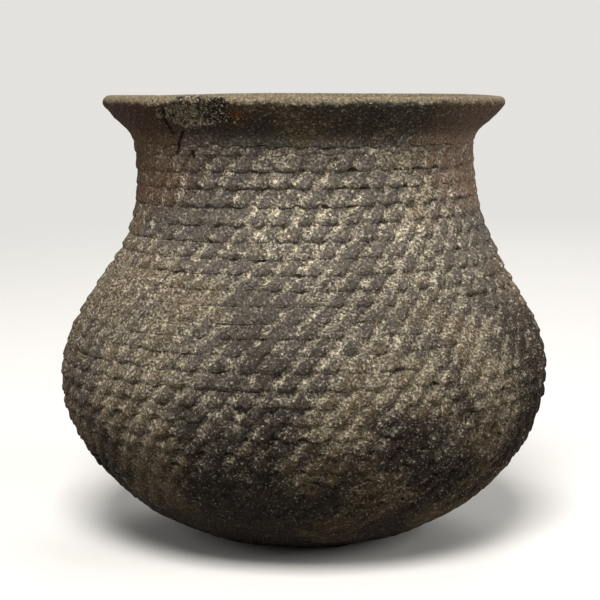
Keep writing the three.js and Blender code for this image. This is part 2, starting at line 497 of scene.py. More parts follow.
@dataclass
class Weathering:
    """What hands, fire and time left on the wall, as fields that every piece reads in the same place.

    Middles and cracks are a bearing and a distance along the outline. Halves are degrees and mm.
    """

    outline: Outline
    lumps: Lumps = field(default_factory=lambda: Lumps(5))

    # Unevenness of the clay in mm, and the scraper's strokes on the inside.
    broad: Lumpiness = Lumpiness(0.42, 9.0)
    fine: Lumpiness = Lumpiness(0.20, 3.1, 57.0)
    grit: Lumpiness = Lumpiness(0.13, 1.05, 131.0)
    dents: Lumpiness = Lumpiness(0.25, 14.0, 91.0)
    drift: Lumpiness = Lumpiness(3.0, 31.0)
    strokes: Waver = Waver(0.10, 2.3, 2.5)

    # Cracks, flake and stain on the lip.
    cracks: Sequence[Sequence[Pair]] = (
        ((-41.8, 190.5), (-43.0, 185.3), (-43.2, 180.7)),
        ((-39.0, 181.0), (-42.2, 177.4), (-44.5, 174.2)),
        ((-37.0, 175.0), (-38.0, 172.9)),
    )
    crack_reach: float = 5.0
    crack_half: Pair = (0.1, 0.7)
    crack_depth: float = 0.5
    flake_middle: Pair = (-29.5, 188.4)
    flake_half: Pair = (13.5, 5.6)
    flake_depth: float = 0.9
    flake_edge: Pair = (0.02, 0.22)
    ragged: Lumpiness = Lumpiness(0.3, 3.4, 17.0)
    ragged_from: float = -0.9
    stain_middle: Pair = (-18.5, 187.5)
    stain_half: Pair = (6.5, 9.0)

    # Where soil clings, by the height in mm and the sine of the bearing.
    neck_rise: Pair = (82.0, 112.0)
    foot_rise: Pair = (22.0, 60.0)
    flank_edge: Pair = (0.55, 0.85)
    recess_cling: float = 0.33
    foot_loss: float = 0.18
    flank_loss: float = 0.13
    flank_lean: float = 1.05

    def outside(self, points: np.ndarray) -> np.ndarray:
        """Unevenness of the outside at points, in mm of depth."""
        return sum(layer.at(self.lumps, points) for layer in (self.broad, self.fine, self.grit))

    def inside(self, points: np.ndarray, reach: np.ndarray) -> np.ndarray:
        """Marks of the scraper along the inside, in mm of depth."""
        scraped = self.strokes.at(self.lumps, reach + self.drift.at(self.lumps, points))
        return scraped + self.dents.at(self.lumps, points)

    def cling(self, height: np.ndarray, side: np.ndarray, recess: np.ndarray) -> np.ndarray:
        """Tells how well soil clings: better in hollows, worse on the rubbed foot and the neck's flanks.

        Args:
            height: height over the floor in mm.
            side: sine of the bearing, negative on the left.
            recess: how far a point lies in a hollow, from 0 to about 1.

        Returns:
            What is added to the noises that the soil is laid by.
        """
        foot = 1 - smoothstep(*self.foot_rise, height)
        flank = smoothstep(*self.neck_rise, height) * smoothstep(*self.flank_edge, np.abs(side))
        rubbed_off = self.flank_loss * flank * (self.flank_lean - side)
        return self.recess_cling * recess - self.foot_loss * foot - rubbed_off

    def crack_distance(self, bearing: np.ndarray, reach: np.ndarray) -> np.ndarray:
        """Measures how far points on the outside lie from the nearest crack.

        Args:
            bearing: degrees from the front.
            reach: distance along the outline in mm.

        Returns:
            Distances in mm, none over the cracks' reach.
        """
        nearest = np.full(len(bearing), self.crack_reach)
        for crack in self.cracks:
            for (bearing_a, reach_a), (bearing_b, reach_b) in zip(crack, crack[1:]):
                middle = np.array([(reach_a + reach_b) / 2])
                scale = math.radians(1) * float(self.outline.radius(middle)[0])
                side = np.array([(bearing_b - bearing_a) * scale, reach_b - reach_a])
                from_a = np.column_stack([(bearing - bearing_a) * scale, reach - reach_a])
                share = np.clip(from_a @ side / (side @ side), 0, 1)
                distance = np.linalg.norm(from_a - share[:, None] * side, axis=1)
                nearest = np.minimum(nearest, distance)
        return nearest

    def patch(
        self, bearing: np.ndarray, reach: np.ndarray, middle: Pair, half: Pair
    ) -> np.ndarray:
        """Draws a round patch on the wall.

        Args:
            bearing: degrees from the front.
            reach: distance along the outline in mm.
            middle: bearing and reach of the patch's middle.
            half: half its width in degrees and half its height in mm.

        Returns:
            1 in the patch's middle, 0 on its edge, and evenly less outside, down to -1.
        """
        across = (bearing - middle[0]) / half[0]
        up = (reach - middle[1]) / half[1]
        return np.maximum(1 - np.sqrt(across**2 + up**2), -1.0)


@dataclass
class Wall:
    """Lays strips of section points into the wall, with the same unevenness in every piece.

    The sways are a height, a spread and a shift in mm. The rim's lobes are a size, a count and a start.
    """

    outline: Outline
    weathering: Weathering
    thin_from: float
    lip_seat: float
    shape: Lumps = field(default_factory=lambda: Lumps(23))
    uneven: float = 0.55
    uneven_spacing: float = 41.0
    uneven_edge: Pair = (8, 40)
    sway: Sequence[tuple[float, float, float]] = ((95, 14, 0.9), (43, 11, -0.7), (124, 9, -0.6))
    rim_wave: float = 0.225
    rim_lobes: Sequence[tuple[float, int, float]] = ((1.0, 2, 0.6), (0.5, 5, 2.0))
    rim_drop: float = 0.25
    hidden_edge: Pair = (0.5, 0.0)

    def points(
        self,
        reach: np.ndarray,
        depth: np.ndarray,
        turn: np.ndarray,
        outside: np.ndarray,
        inside: np.ndarray,
        recess: np.ndarray | float = 0.0,
        seam: np.ndarray | float = 0.0,
    ) -> Laid:
        """Places section points and works out what their surface has been through.

        Args:
            reach: distance along the outline.
            depth: depth into the wall.
            turn: turn of the spiral.
            outside: 1 where a point is on the outside, 0 where it isn't.
            inside: 1 where a point is on the inside, 0 where it isn't.
            recess: how far a point lies in a hollow, from 0 to about 1.
            seam: 1 in the mouth of an open seam, which is painted dark with soot and painted shade, 0 away
                from one.

        Returns:
            Points in mm, and the named fields that the materials read.
        """
        marks = self.weathering
        bearing = self.outline.bearing(turn)
        even = self.outline.place(reach, depth, turn)
        flake = marks.patch(bearing, reach, marks.flake_middle, marks.flake_half)
        flake += marks.ragged.at(marks.lumps, even) * (flake > marks.ragged_from)
        loss = outside * marks.flake_depth * smoothstep(*marks.flake_edge, flake)
        crack = marks.crack_distance(bearing, reach)
        groove = outside * marks.crack_depth * (1 - smoothstep(*marks.crack_half, crack))
        rough = outside * marks.outside(even) + inside * marks.inside(even, reach)
        laid = self.outline.place(reach, depth + rough + loss + groove, turn)
        stain = marks.patch(bearing, reach, marks.stain_middle, marks.stain_half)
        side = np.sin(np.radians(bearing))
        neck = smoothstep(*marks.neck_rise, even[:, 2])
        hidden = marks.crack_reach * smoothstep(*self.hidden_edge, np.asarray(outside))
        fields = {
            "cling": marks.cling(even[:, 2], side, recess * outside),
            "seam": seam * outside,
            "neck_side": side * neck,
            "belly_side": side * (1 - neck),
            "inside": inside,
            "crack": crack + hidden,
            "flake": flake - hidden,
            "stain": stain - hidden,
        }
        return self.hand_made(laid), fields

    def thickness(self, reach: np.ndarray) -> np.ndarray:
        """Thickness of the wall in mm, which thins along the neck towards the lip."""
        thinned = self.outline.lip_thickness - self.outline.wall
        return self.outline.wall + thinned * smoothstep(self.thin_from, self.lip_seat, reach)

    def hand_made(self, points: np.ndarray) -> np.ndarray:
        """Takes the jar a little out of round and its rim a little out of level, and wears its foot flat.

        Args:
            points: points of the even jar in mm, one row each.

        Returns:
            Points of the uneven one.
        """
        radius = np.hypot(points[:, 0], points[:, 1])
        height = points[:, 2]
        swell = self.uneven * (self.shape.at(points, self.uneven_spacing) - 1)
        stretch = 1 + swell * smoothstep(*self.uneven_edge, radius) / np.maximum(radius, 1)
        shift = sum(size * np.exp(-(((height - level) / spread) ** 2)) for level, spread, size in self.sway)
        bearing = np.arctan2(points[:, 0], -points[:, 1])
        wave = sum(size * np.cos(count * bearing + start) for size, count, start in self.rim_lobes)
        wave -= sum(size for size, _, _ in self.rim_lobes)
        near_rim = smoothstep(self.outline.neck_height, self.outline.jar_height, height)
        resting = np.maximum(height + (self.rim_wave * wave - self.rim_drop) * near_rim, 0)
        return np.column_stack([points[:, 0] * stretch + shift, points[:, 1] * stretch, resting])


@dataclass
class Piece:
    """One mesh made by spinning a section round the jar and laying it in its place."""

    name: str
    slot: str
    material: bpy.types.Material
    spiral: Spiral
    wall: Wall

    def spin(self, corners: int, columns: int, share: float) -> bpy.types.Object:
        """Rolls a round rope of clay round the axis.

        Args:
            corners: points round the rope's section.
            columns: sections along it.
            share: share of a full turn that it goes round.

        Returns:
            The object, one closed body of unit size.
        """
        bpy.ops.object.select_all(action="DESELECT")
        bpy.ops.mesh.primitive_circle_add(
            vertices=corners,
            radius=SPUN_ROUND,
            fill_type="NOTHING",
            location=(1, 0, 0),
            rotation=(math.pi / 2, 0, 0),
        )
        piece = bpy.context.object
        piece.name = piece.data.name = f"{self.name}_clay"
        bpy.ops.object.transform_apply(location=True, rotation=True, scale=True)
        bpy.ops.object.modifier_add(type="SCREW")
        screw = piece.modifiers[-1]
        screw.angle = FULL_TURN * share
        screw.steps = screw.render_steps = columns
        screw.use_merge_vertices = share == 1
        screw.merge_threshold = SPUN_MERGE
        bpy.ops.object.modifier_apply(modifier=screw.name)
        if share != 1:
            bpy.ops.object.mode_set(mode="EDIT")
            bpy.ops.mesh.select_all(action="SELECT")
            bpy.ops.mesh.fill_holes(sides=0)
            bpy.ops.object.mode_set(mode="OBJECT")
        return piece

    def lay(
        self,
        piece: bpy.types.Object,
        corners: int,
        columns: int,
        place: Callable[[np.ndarray, np.ndarray], Laid],
    ) -> None:
        """Moves each point of a spun rope to its place in the jar.

        Args:
            piece: the spun rope, its points in order along it.
            corners: points round its section, numbered from the top of the spun one.
            columns: sections along it.
            place: gives points in mm and named values for corner numbers and shares along the rope.
        """
        mesh = piece.data
        coordinates = np.empty(len(mesh.vertices) * 3)
        mesh.vertices.foreach_get("co", coordinates)
        x, y, z = coordinates.reshape(-1, 3).T
        from_top = 0.25 - np.arctan2(z, np.hypot(x, y) - 1) / FULL_TURN
        corner = np.round(from_top * corners).astype(int) % corners
        column = np.arange(len(corner)) // corners
        points, values = place(corner, column / columns)
        mesh.vertices.foreach_set("co", (points * MM).ravel())
        for name, value in values.items():
            mesh.attributes.new(name, "FLOAT", "POINT").data.foreach_set("value", value)
        mesh.update()

    def finish(self, piece: bpy.types.Object) -> None:
        """Joins double points, turns the faces outwards, dresses them, hides the imported part of the same
        name and hangs the piece under the root body.

        Args:
            piece: the laid piece.
        """
        bpy.ops.object.mode_set(mode="EDIT")
        bpy.ops.mesh.select_all(action="SELECT")
        bpy.ops.mesh.remove_doubles(threshold=MERGE)
        bpy.ops.mesh.delete_loose(use_verts=True, use_edges=True, use_faces=False)
        bpy.ops.mesh.select_all(action="SELECT")
        bpy.ops.mesh.normals_make_consistent(inside=False)
        bpy.ops.object.mode_set(mode="OBJECT")
        piece.data.materials.append(self.material)
        bpy.ops.object.shade_smooth_by_angle(angle=SMOOTH_ANGLE)
        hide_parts(self.name)
        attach(piece, "root")
        triangles = sum(len(face.vertices) - 2 for face in piece.data.polygons)
        LOG.info("%s: %d triangles", piece.name, triangles)


@dataclass
class Rope(Piece):
    """One rope of the spiral, lapped over the rope beneath and pressed down with a fingertip.

    Edges and the seam's mouth are heights on its face, from 0 at the lower edge to 1 at the tucked top.
    """

    number: int
    grain: float = 0.5
    face_points: int = 12
    seat_points: int = 2
    inner_points: int = 5
    under_points: int = 5
    crowding: float = 0.05
    nose: float = 0.7
    nose_share: float = 0.13
    nose_least: float = 0.3
    shut_flat: float = 0.8
    step_least: float = 0.1
    step_edge: Pair = (0.15, 0.85)
    tuck_edge: Pair = (0.8, 1)
    press_end: Pair = (0.85, 1)
    deep_edge: Pair = (0.6, 0.85)
    deep_share: float = 0.35
    # Where the mouth of an open seam is painted dark on the face: soot and painted shade under the lap
    # above.
    seam_mouth: Pair = (0.76, 0.82)
    seam_relief: float = 1.5

    def build(self) -> None:
        """Spins the rope, lays it on the spiral and dresses it."""
        start, end = self.spiral.joint(self.number), self.spiral.joint(self.number + 1)
        middle = self.spiral.seam(np.array([(start + end) / 2]))
        around = FULL_TURN * float(self.wall.outline.radius(middle)[0]) * (end - start)
        columns = int(around / self.grain)
        corners = self.face_points + self.seat_points + self.inner_points + self.under_points
        piece = self.spin(corners, columns, end - start)

        def place(corner: np.ndarray, share: np.ndarray) -> Laid:
            """Shapes the section at shares along this rope."""
            return self.section(corner, start + (end - start) * share)

        self.lay(piece, corners, columns, place)
        self.finish(piece)

    def section(self, corner: np.ndarray, turn: np.ndarray) -> Laid:
        """Shapes the rope's section.

        Args:
            corner: number of each point round the section, from the lower lip up the outside.
            turn: turn of the spiral at each point.

        Returns:
            Points in mm, and the named fields that the materials read.
        """
        spiral, thick = self.spiral, self.wall.outline.wall
        relief = spiral.relief(turn)
        tuck = spiral.smooth_tuck + (spiral.tuck - spiral.smooth_tuck) * spiral.relief(turn + 1)
        seam_low, seam_high = spiral.seam(turn - 1), spiral.seam(turn)
        edge = np.zeros(len(turn))
        low = seam_low - spiral.lap + spiral.press_lift * relief * spiral.hollow(turn, edge)
        high = seam_high - spiral.lap + spiral.seat_slope * tuck
        inner_high, inner_low = seam_high + spiral.seat_rise, seam_low + spiral.seat_rise
        last_face = self.face_points
        last_seat = last_face + self.seat_points
        last_inner = last_seat + self.inner_points
        share = along_strip(corner, 0, self.face_points)
        share += self.crowding * np.sin(FULL_TURN * share)
        over = between_strips(corner, last_face, self.seat_points)
        inner = along_strip(corner, last_seat, self.inner_points)
        under = 1 - (1 - between_strips(corner, last_inner, self.under_points)) ** 2
        parts = [corner < last_face, corner < last_seat, corner < last_inner]
        reach = np.select(
            parts,
            [
                low + (high - low) * share,
                high + (inner_high - high) * over,
                inner_high + (inner_low - inner_high) * inner,
            ],
            inner_low + (low - inner_low) * under,
        )
        depth = np.select(
            parts,
            [self.face_depth(turn, share, relief, tuck), tuck + (thick - tuck) * over, edge + thick],
            thick + (self.face_depth(turn, edge, relief, tuck) - thick) * under,
        )
        deep = self.deep_share * smoothstep(*self.deep_edge, share)
        recess = relief * (spiral.hollow(turn, share) + deep)
        gape = spiral.gape(turn) * (1 - spiral.smear(turn)) * np.minimum(1, self.seam_relief * relief)
        outside, inside = Face.shares(parts)
        # The mouth of an open seam, painted dark just below the next rope's nose: soot and painted shade.
        seam = smoothstep(*self.seam_mouth, share) * gape
        return self.wall.points(reach, depth, turn, outside, inside, recess, seam)

    def face_depth(
        self, turn: np.ndarray, share: np.ndarray, relief: np.ndarray, tuck: np.ndarray
    ) -> np.ndarray:
        """Shapes the pressed face: a rounded nose, a pillow between two hollows, and a tucked top.

        Args:
            turn: turn of the spiral.
            share: height on the face, from 0 to 1.
            relief: how proud the laps stand there.
            tuck: depth of the tucked top.

        Returns:
            Depth in mm.
        """
        spiral = self.spiral
        roll = np.clip(1 - share / self.nose_share, 0, 1)
        open_below = 1 - self.shut_flat * spiral.smear(turn - 1)
        open_above = 1 - self.shut_flat * spiral.smear(turn)
        proud = self.nose_least + (1 - self.nose_least) * relief * open_below
        nose = self.nose * proud * (1 - np.sqrt(np.maximum(0, 1 - roll**2)))
        step = np.minimum(tuck, spiral.lap_step * relief * open_above + self.step_least)
        lean = step * smoothstep(*self.step_edge, share)
        lean = lean + (tuck - step) * smoothstep(*self.tuck_edge, share)
        pressed = spiral.press_depth * relief * spiral.hollow(turn, share)
        return nose + lean + pressed * (1 - smoothstep(*self.press_end, share))


@dataclass
class BasePat(Piece):
    """The patted disc of clay under the first rope, worn smooth and flat where the jar rests."""

    columns: int = 360
    outer_points: int = 40
    seat_points: int = 2
    inner_points: int = 26
    tuck_edge: Pair = (0.75, 1)
    worn_edge: Pair = (0.6, 0.8)

    def build(self) -> None:
        """Spins the disc, shapes it and dresses it."""
        corners = self.outer_points + self.seat_points + self.inner_points
        piece = self.spin(corners, self.columns, 1)
        self.lay(piece, corners, self.columns, self.section)
        self.finish(piece)

    def section(self, corner: np.ndarray, turn: np.ndarray) -> Laid:
        """Shapes the disc's section.

        Args:
            corner: number of each point, from the middle of the base round its edge to the floor's middle.
            turn: turn of the spiral at each point.

        Returns:
            Points in mm, and the named fields that the materials read.
        """
        spiral, thick = self.spiral, self.wall.outline.wall
        tuck = spiral.smooth_tuck
        edge = spiral.base_reach - spiral.lap + spiral.seat_slope * tuck
        inner_edge = spiral.base_reach + spiral.seat_rise
        last_seat = self.outer_points + self.seat_points
        outer = along_strip(corner, 0, self.outer_points)
        over = between_strips(corner, self.outer_points, self.seat_points)
        inner = along_strip(corner, last_seat, self.inner_points)
        parts = [corner < self.outer_points, corner < last_seat]
        reach = np.select(
            parts, [edge * outer, edge + (inner_edge - edge) * over], inner_edge * (1 - inner)
        )
        tucked = [tuck * smoothstep(*self.tuck_edge, outer), tuck + (thick - tuck) * over]
        depth = np.select(parts, tucked, thick)
        outside = np.where(parts[0], smoothstep(*self.worn_edge, outer), 0.0)
        inside = np.where(parts[1], 0.0, 1.0)
        return self.wall.points(reach, depth, turn, outside, inside)


@dataclass
class NeckBand(Piece):
    """The smoothed band of wall that bends out towards the lip."""

    columns: int = 800
    outer_points: int = 34
    seat_points: int = 2
    inner_points: int = 22
    under_points: int = 5
    nose: float = 0.2
    nose_share: float = 0.12
    edge_waver: Waver = Waver(0.35, 0.045, 18.5)
    edge_press: float = 0.4

    def build(self) -> None:
        """Spins the band, shapes it and dresses it."""
        corners = self.outer_points + self.seat_points + self.inner_points + self.under_points
        piece = self.spin(corners, self.columns, 1)
        self.lay(piece, corners, self.columns, self.section)
        self.finish(piece)

    def section(self, corner: np.ndarray, turn: np.ndarray) -> Laid:
        """Shapes the band's section.

        Args:
            corner: number of each point, from the lower lip up the outside and down the inside.
            turn: turn round the jar at each point.

        Returns:
            Points in mm, and the named fields that the materials read.
        """
        spiral, thick = self.spiral, self.wall.outline.wall
        hollow = spiral.hollow(turn + spiral.turns, np.zeros(len(turn)))
        low = spiral.neck_seat - spiral.lap + self.edge_waver.at(spiral.hand, turn)
        low = low + self.edge_press * hollow
        top = spiral.lip_seat
        inner_low = spiral.neck_seat + spiral.seat_rise
        last_seat = self.outer_points + self.seat_points
        last_inner = last_seat + self.inner_points
        outer = along_strip(corner, 0, self.outer_points)
        over = between_strips(corner, self.outer_points, self.seat_points)
        inner_reach = top + (inner_low - top) * along_strip(corner, last_seat, self.inner_points)
        under = between_strips(corner, last_inner, self.under_points)
        parts = [corner < self.outer_points, corner < last_seat, corner < last_inner]
        reach = np.select(
            parts, [low + (top - low) * outer, top, inner_reach], inner_low + (low - inner_low) * under
        )
        depth = np.select(
            parts,
            [
                self.nose * (1 - smoothstep(0, self.nose_share, outer)),
                self.wall.thickness(np.array([top]))[0] * over,
                self.wall.thickness(inner_reach),
            ],
            thick + (self.nose - thick) * under,
        )
        outside, inside = Face.shares(parts)
        return self.wall.points(reach, depth, turn, outside, inside)


@dataclass
class RimLip(Piece):
    """The rounded lip, with an old flake lost from its outer face."""

    columns: int = 800
    outer_points: int = 14
    roll_points: int = 16
    inner_points: int = 9
    seat_points: int = 3
    scraped_edge: Pair = (0.2, 0.8)

    def build(self) -> None:
        """Spins the lip, shapes it and dresses it."""
        corners = self.outer_points + self.roll_points + self.inner_points + self.seat_points
        piece = self.spin(corners, self.columns, 1)
        self.lay(piece, corners, self.columns, self.section)
        self.finish(piece)

    def section(self, corner: np.ndarray, turn: np.ndarray) -> Laid:
        """Shapes the lip's section.

        Args:
            corner: number of each point, from the seat up the outside, over the roll and down the inside.
            turn: turn round the jar at each point.

        Returns:
            Points in mm, and the named fields that the materials read.
        """
        outline, low = self.wall.outline, self.spiral.lip_seat
        height, radius = outline.length - low, outline.lip_round
        last_roll = self.outer_points + self.roll_points
        last_inner = last_roll + self.inner_points
        outer = along_strip(corner, 0, self.outer_points)
        swing = math.pi * between_strips(corner, self.outer_points, self.roll_points)
        inner = along_strip(corner, last_roll, self.inner_points)
        under = between_strips(corner, last_inner, self.seat_points)
        inner_reach = outline.length - height * inner
        parts = [corner < self.outer_points, corner < last_roll, corner < last_inner]
        reach = np.select(
            parts, [low + height * outer, outline.length + radius * np.sin(swing), inner_reach], low
        )
        depth = np.select(
            parts,
            [0.0, radius * (1 - np.cos(swing)), self.wall.thickness(inner_reach)],
            self.wall.thickness(np.array([low]))[0] * (1 - under),
        )
        outside = np.select(parts, [1.0, 0.5 + 0.5 * np.cos(swing), 0.0], 0.0)
        inside = np.select(parts, [0.0, 0.0, smoothstep(*self.scraped_edge, inner)], 0.0)
        return self.wall.points(reach, depth, turn, outside, inside)


def linear(hex_colour: str) -> tuple[float, float, float, float]:
    """Turns an sRGB hex colour to linear light.

    Args:
        hex_colour: six hex digits.

    Returns:
        Linear red, green and blue, and an alpha of 1.
    """
    values = [int(hex_colour[place : place + 2], 16) / 255 for place in (0, 2, 4)]
    red, green, blue = (v / 12.92 if v <= 0.04045 else ((v + 0.055) / 1.055) ** 2.4 for v in values)
    return red, green, blue, 1.0


def add_node(
    tree: bpy.types.NodeTree, kind: str, settings: dict | None = None, inputs: dict | None = None
) -> bpy.types.Node:
    """Adds a node with its settings and links.

    Args:
        tree: the material's or the world's nodes.
        kind: the node's type.
        settings: properties of the node.
        inputs: a value or a socket for each input, by name or number.

    Returns:
        The new node.
    """
    node = tree.nodes.new(kind)
    for name, value in (settings or {}).items():
        setattr(node, name, value)
    for name, value in (inputs or {}).items():
        if isinstance(value, bpy.types.NodeSocket):
            tree.links.new(value, node.inputs[name])
        else:
            node.inputs[name].default_value = value
    return node


# Numbers of the sockets by which a Mix node takes and gives colours.
MIX_FACTOR, MIX_A, MIX_B, MIX_RESULT = 0, 6, 7, 2


@dataclass(frozen=True)
class Paint:
    """One layer of colour, laid where its driver passes from one value to another."""

    colour: str
    driver: str
    start: float
    full: float
    share: float

    @property
    def edge(self) -> Edge:
        """The driver's value where the layer starts, where it is full, and its greatest share."""
        return self.start, self.full, self.share


@dataclass(frozen=True)
class FiredClay:
    """Low-fired grey-brown earthenware, coiled and pressed by hand, smoked over cooking fires.

    It gives the eye a dull, dry surface with no gloss: salt-and-pepper grit, soot and painted shade that
    darken the lower half, painted shade under the flare, reddish flanks, and buff soil left in what lies
    deep. Open seams are darkened with soot and painted shade, and cracks with painted shade. Noises are a
    size in mm and a detail. Edges are a driver's value where a layer starts, where it is full, and its
    greatest share.
    """

    name: str
    soil: float = 1.0
    grit_bump: float = 1.0
    roughness: float = 0.9
    ior: float = 1.5
    specular_level: float = 0.1
    bump_mm: float = 0.7
    bump_weights: Weights = (("speckle", 1.1), ("mottle", 1.5))

    # Noises that the layers are laid by.
    noises_mm: Sequence[tuple[str, float, float]] = (
        ("patch", 30, 4),
        ("mottle", 8, 5),
        ("speckle", 2.2, 5),
        ("grit", 0.7, 3),
    )
    noise_roughness: float = 0.62
    strand_mm: float = 3.2
    strand_detail: float = 3.0
    strand_half: float = 0.07
    height_waver: Weights = (("mottle", 5), ("speckle", 3))
    # How the soot and painted shade low on the body lean: with the noises, and darker on the right.
    soot_and_shade_lean: Weights = (("patch", 60), ("mottle", 12), ("belly_side", -13))

    # Bare clay, its grains, what fire and hands gave it, and painted shade low on the body and under the
    # flare.
    clay: str = "5b544b"
    grain_edge: Pair = (0.35, 0.65)
    bare_grain: Pair = (0.52, 1.46)
    layers: Sequence[Paint] = (
        Paint("6f5c48", "patch", 0.48, 0.66, 0.6),
        Paint("3b3430", "mottle", 0.46, 0.66, 0.75),
        Paint("6e4a35", "belly_side", -0.85, -0.99, 0.35),
        Paint("6e4a35", "belly_side", 0.85, 0.99, 0.35),
        Paint("a08873", "neck_side", 0.6, 0.95, 0.5),
        # Soot and painted shade: darker towards the bottom, leaning darker on the right.
        Paint("1f1610", "soot_and_shade", 110, 76, 0.85),
        Paint("665436", "patch", 0.5, 0.6, 0.35),
        # Painted shade under the flaring lip, on the neck just below it.
        Paint("21170f", "height", 124, 130, 0.6),
        Paint("54392c", "neck_side", -0.45, -0.8, 0.68),
        Paint("77604f", "neck_side", 0.5, 0.85, 0.6),
        Paint("857860", "height", 136.1, 137.4, 0.9),
    )

    # Soil held in the hollows: a film, then a crust, then pale threads.
    soil_colour: str = "8a8170"
    soil_pale: str = "aea28a"
    soil_grain: Pair = (0.5, 1.5)
    soil_weights: Weights = (("cling", 1.0), ("patch", 1.1), ("mottle", 0.8), ("grit", 0.3))
    thread_weights: Weights = (("strand", 0.6),)
    film: Edge = (1.46, 1.72, 0.24)
    crust: Edge = (1.66, 1.80, 0.7)
    threads: Edge = (2.22, 2.30, 0.9)

    # Smoke, handling and painted shade over the soil: darker low down, under the flare and in open seams.
    smoke_and_shade: Sequence[Paint] = (
        # Soot and painted shade again, darker towards the bottom.
        Paint("1f1711", "height", 98, 78, 0.32),
        Paint("1f1711", "soot_and_shade", 110, 72, 0.35),
        Paint("5d503b", "patch", 0.52, 0.64, 0.3),
        # Painted shade under the flaring lip again.
        Paint("21170f", "height", 125, 131, 0.4),
        Paint("857860", "height", 136.1, 137.4, 0.45),
        # Soot and painted shade in the mouths of open seams, under the laps.
        Paint("120e0b", "seam", 0.2, 0.7, 0.85),
        Paint("a3998a", "grit", 0.61, 0.67, 0.4),
    )

    # Scraped inside, its strokes 25 mm long and 1.4 mm apart.
    inside_dark: str = "3a322c"
    inside_pale: str = "5c5145"
    stroke_scale: tuple[float, float, float] = (0.04, 0.04, 0.7)
    stroke_detail: float = 3.0
    stroke_weights: Weights = (("stroke", 0.6),)
    streaks: Edge = (0.62, 1.0, 1.0)

    # Flaked core with its temper, rusty stain, and cracks drawn in the charred colour as painted shade.
    core: str = "6e6351"
    core_grain: Pair = (0.3, 1.7)
    charred_and_crack_shade: str = "141110"
    charred_weights: Weights = (("stain", 0.16),)
    charring: Edge = (0.31, 0.46, 1.0)
    temper: str = "bdb29b"
    temper_grit: Edge = (0.54, 0.63, 0.8)
    rust: str = "7a5028"
    flake_ragged: Weights = (("speckle", 0.35),)
    flaked: Edge = (0.16, 0.26, 0.9)
    stain_ragged: Weights = (("speckle", 2.5),)
    stained: Edge = (1.6, 2.3, 0.5)
    crack_ragged: Weights = (("speckle", 0.9),)
    # Cracks drawn near-black along their grooves: painted shade.
    cracked: Edge = (1.05, 0.7, 0.9)

    def material(self) -> bpy.types.Material:
        """Builds the material's nodes.

        Returns:
            The material.
        """
        material = bpy.data.materials.new(self.name)
        material.use_nodes = True
        tree = material.node_tree
        tree.nodes.clear()
        drivers = self.drivers(tree)
        colour = add_node(
            tree,
            "ShaderNodeMix",
            {"data_type": "RGBA"},
            {
                MIX_FACTOR: drivers["inside"],
                MIX_A: self.outside(tree, drivers),
                MIX_B: self.inside(tree, drivers),
            },
        ).outputs[MIX_RESULT]
        relief = self.gather(tree, drivers["grit"], drivers, self.bump_weights)
        bump = add_node(
            tree,
            "ShaderNodeBump",
            inputs={"Height": relief, "Distance": self.bump_mm * MM, "Strength": self.grit_bump},
        ).outputs[0]
        shader = add_node(
            tree,
            "ShaderNodeBsdfPrincipled",
            inputs={
                "Base Color": self.damage(tree, colour, drivers),
                "Roughness": self.roughness,
                "IOR": self.ior,
                "Specular IOR Level": self.specular_level,
                "Normal": bump,
            },
        ).outputs[0]
        add_node(tree, "ShaderNodeOutputMaterial", inputs={"Surface": shader})
        return material

    def drivers(self, tree: bpy.types.NodeTree) -> Drivers:
        """Makes what the layers are laid by: noises, the mesh's own fields and the height in mm.

        Args:
            tree: the material's nodes.

        Returns:
            Sockets by name.
        """
        place = add_node(tree, "ShaderNodeTexCoord").outputs["Object"]
        in_mm = add_node(
            tree, "ShaderNodeMapping", inputs={"Vector": place, "Scale": (1 / MM, 1 / MM, 1 / MM)}
        ).outputs[0]
        drivers = {"place": in_mm}
        for label, size, detail in self.noises_mm:
            drivers[label] = add_node(
                tree,
                "ShaderNodeTexNoise",
                inputs={
                    "Vector": in_mm,
                    "Scale": 1 / size,
                    "Detail": detail,
                    "Roughness": self.noise_roughness,
                },
            ).outputs["Fac"]
        strand = add_node(
            tree,
            "ShaderNodeTexNoise",
            inputs={"Vector": in_mm, "Scale": 1 / self.strand_mm, "Detail": self.strand_detail},
        ).outputs["Fac"]
        ridge = add_node(tree, "ShaderNodeMath", {"operation": "SUBTRACT"}, {0: strand, 1: 0.5}).outputs[0]
        off_ridge = add_node(tree, "ShaderNodeMath", {"operation": "ABSOLUTE"}, {0: ridge}).outputs[0]
        drivers["strand"] = add_node(
            tree,
            "ShaderNodeMapRange",
            inputs={"Value": off_ridge, "From Min": self.strand_half, "From Max": 0.0},
        ).outputs[0]
        for label in ("cling", "seam", "neck_side", "belly_side", "inside", "crack", "flake", "stain"):
            drivers[label] = add_node(tree, "ShaderNodeAttribute", {"attribute_name": label}).outputs["Fac"]
        height = add_node(tree, "ShaderNodeSeparateXYZ", inputs={"Vector": in_mm}).outputs["Z"]
        drivers["height"] = self.gather(tree, height, drivers, self.height_waver)
        drivers["soot_and_shade"] = self.gather(tree, drivers["height"], drivers, self.soot_and_shade_lean)
        return drivers

    def gather(
        self, tree: bpy.types.NodeTree, base: bpy.types.NodeSocket, drivers: Drivers, weights: Weights
    ) -> bpy.types.NodeSocket:
        """Adds drivers to a value, each by its weight.

        Args:
            tree: the material's nodes.
            base: the value that they are added to.
            drivers: sockets by name.
            weights: names of drivers, each with its weight.

        Returns:
            The sum's socket.
        """
        for label, weight in weights:
            base = add_node(
                tree,
                "ShaderNodeMath",
                {"operation": "MULTIPLY_ADD"},
                {0: drivers[label], 1: weight, 2: base},
            ).outputs[0]
        return base

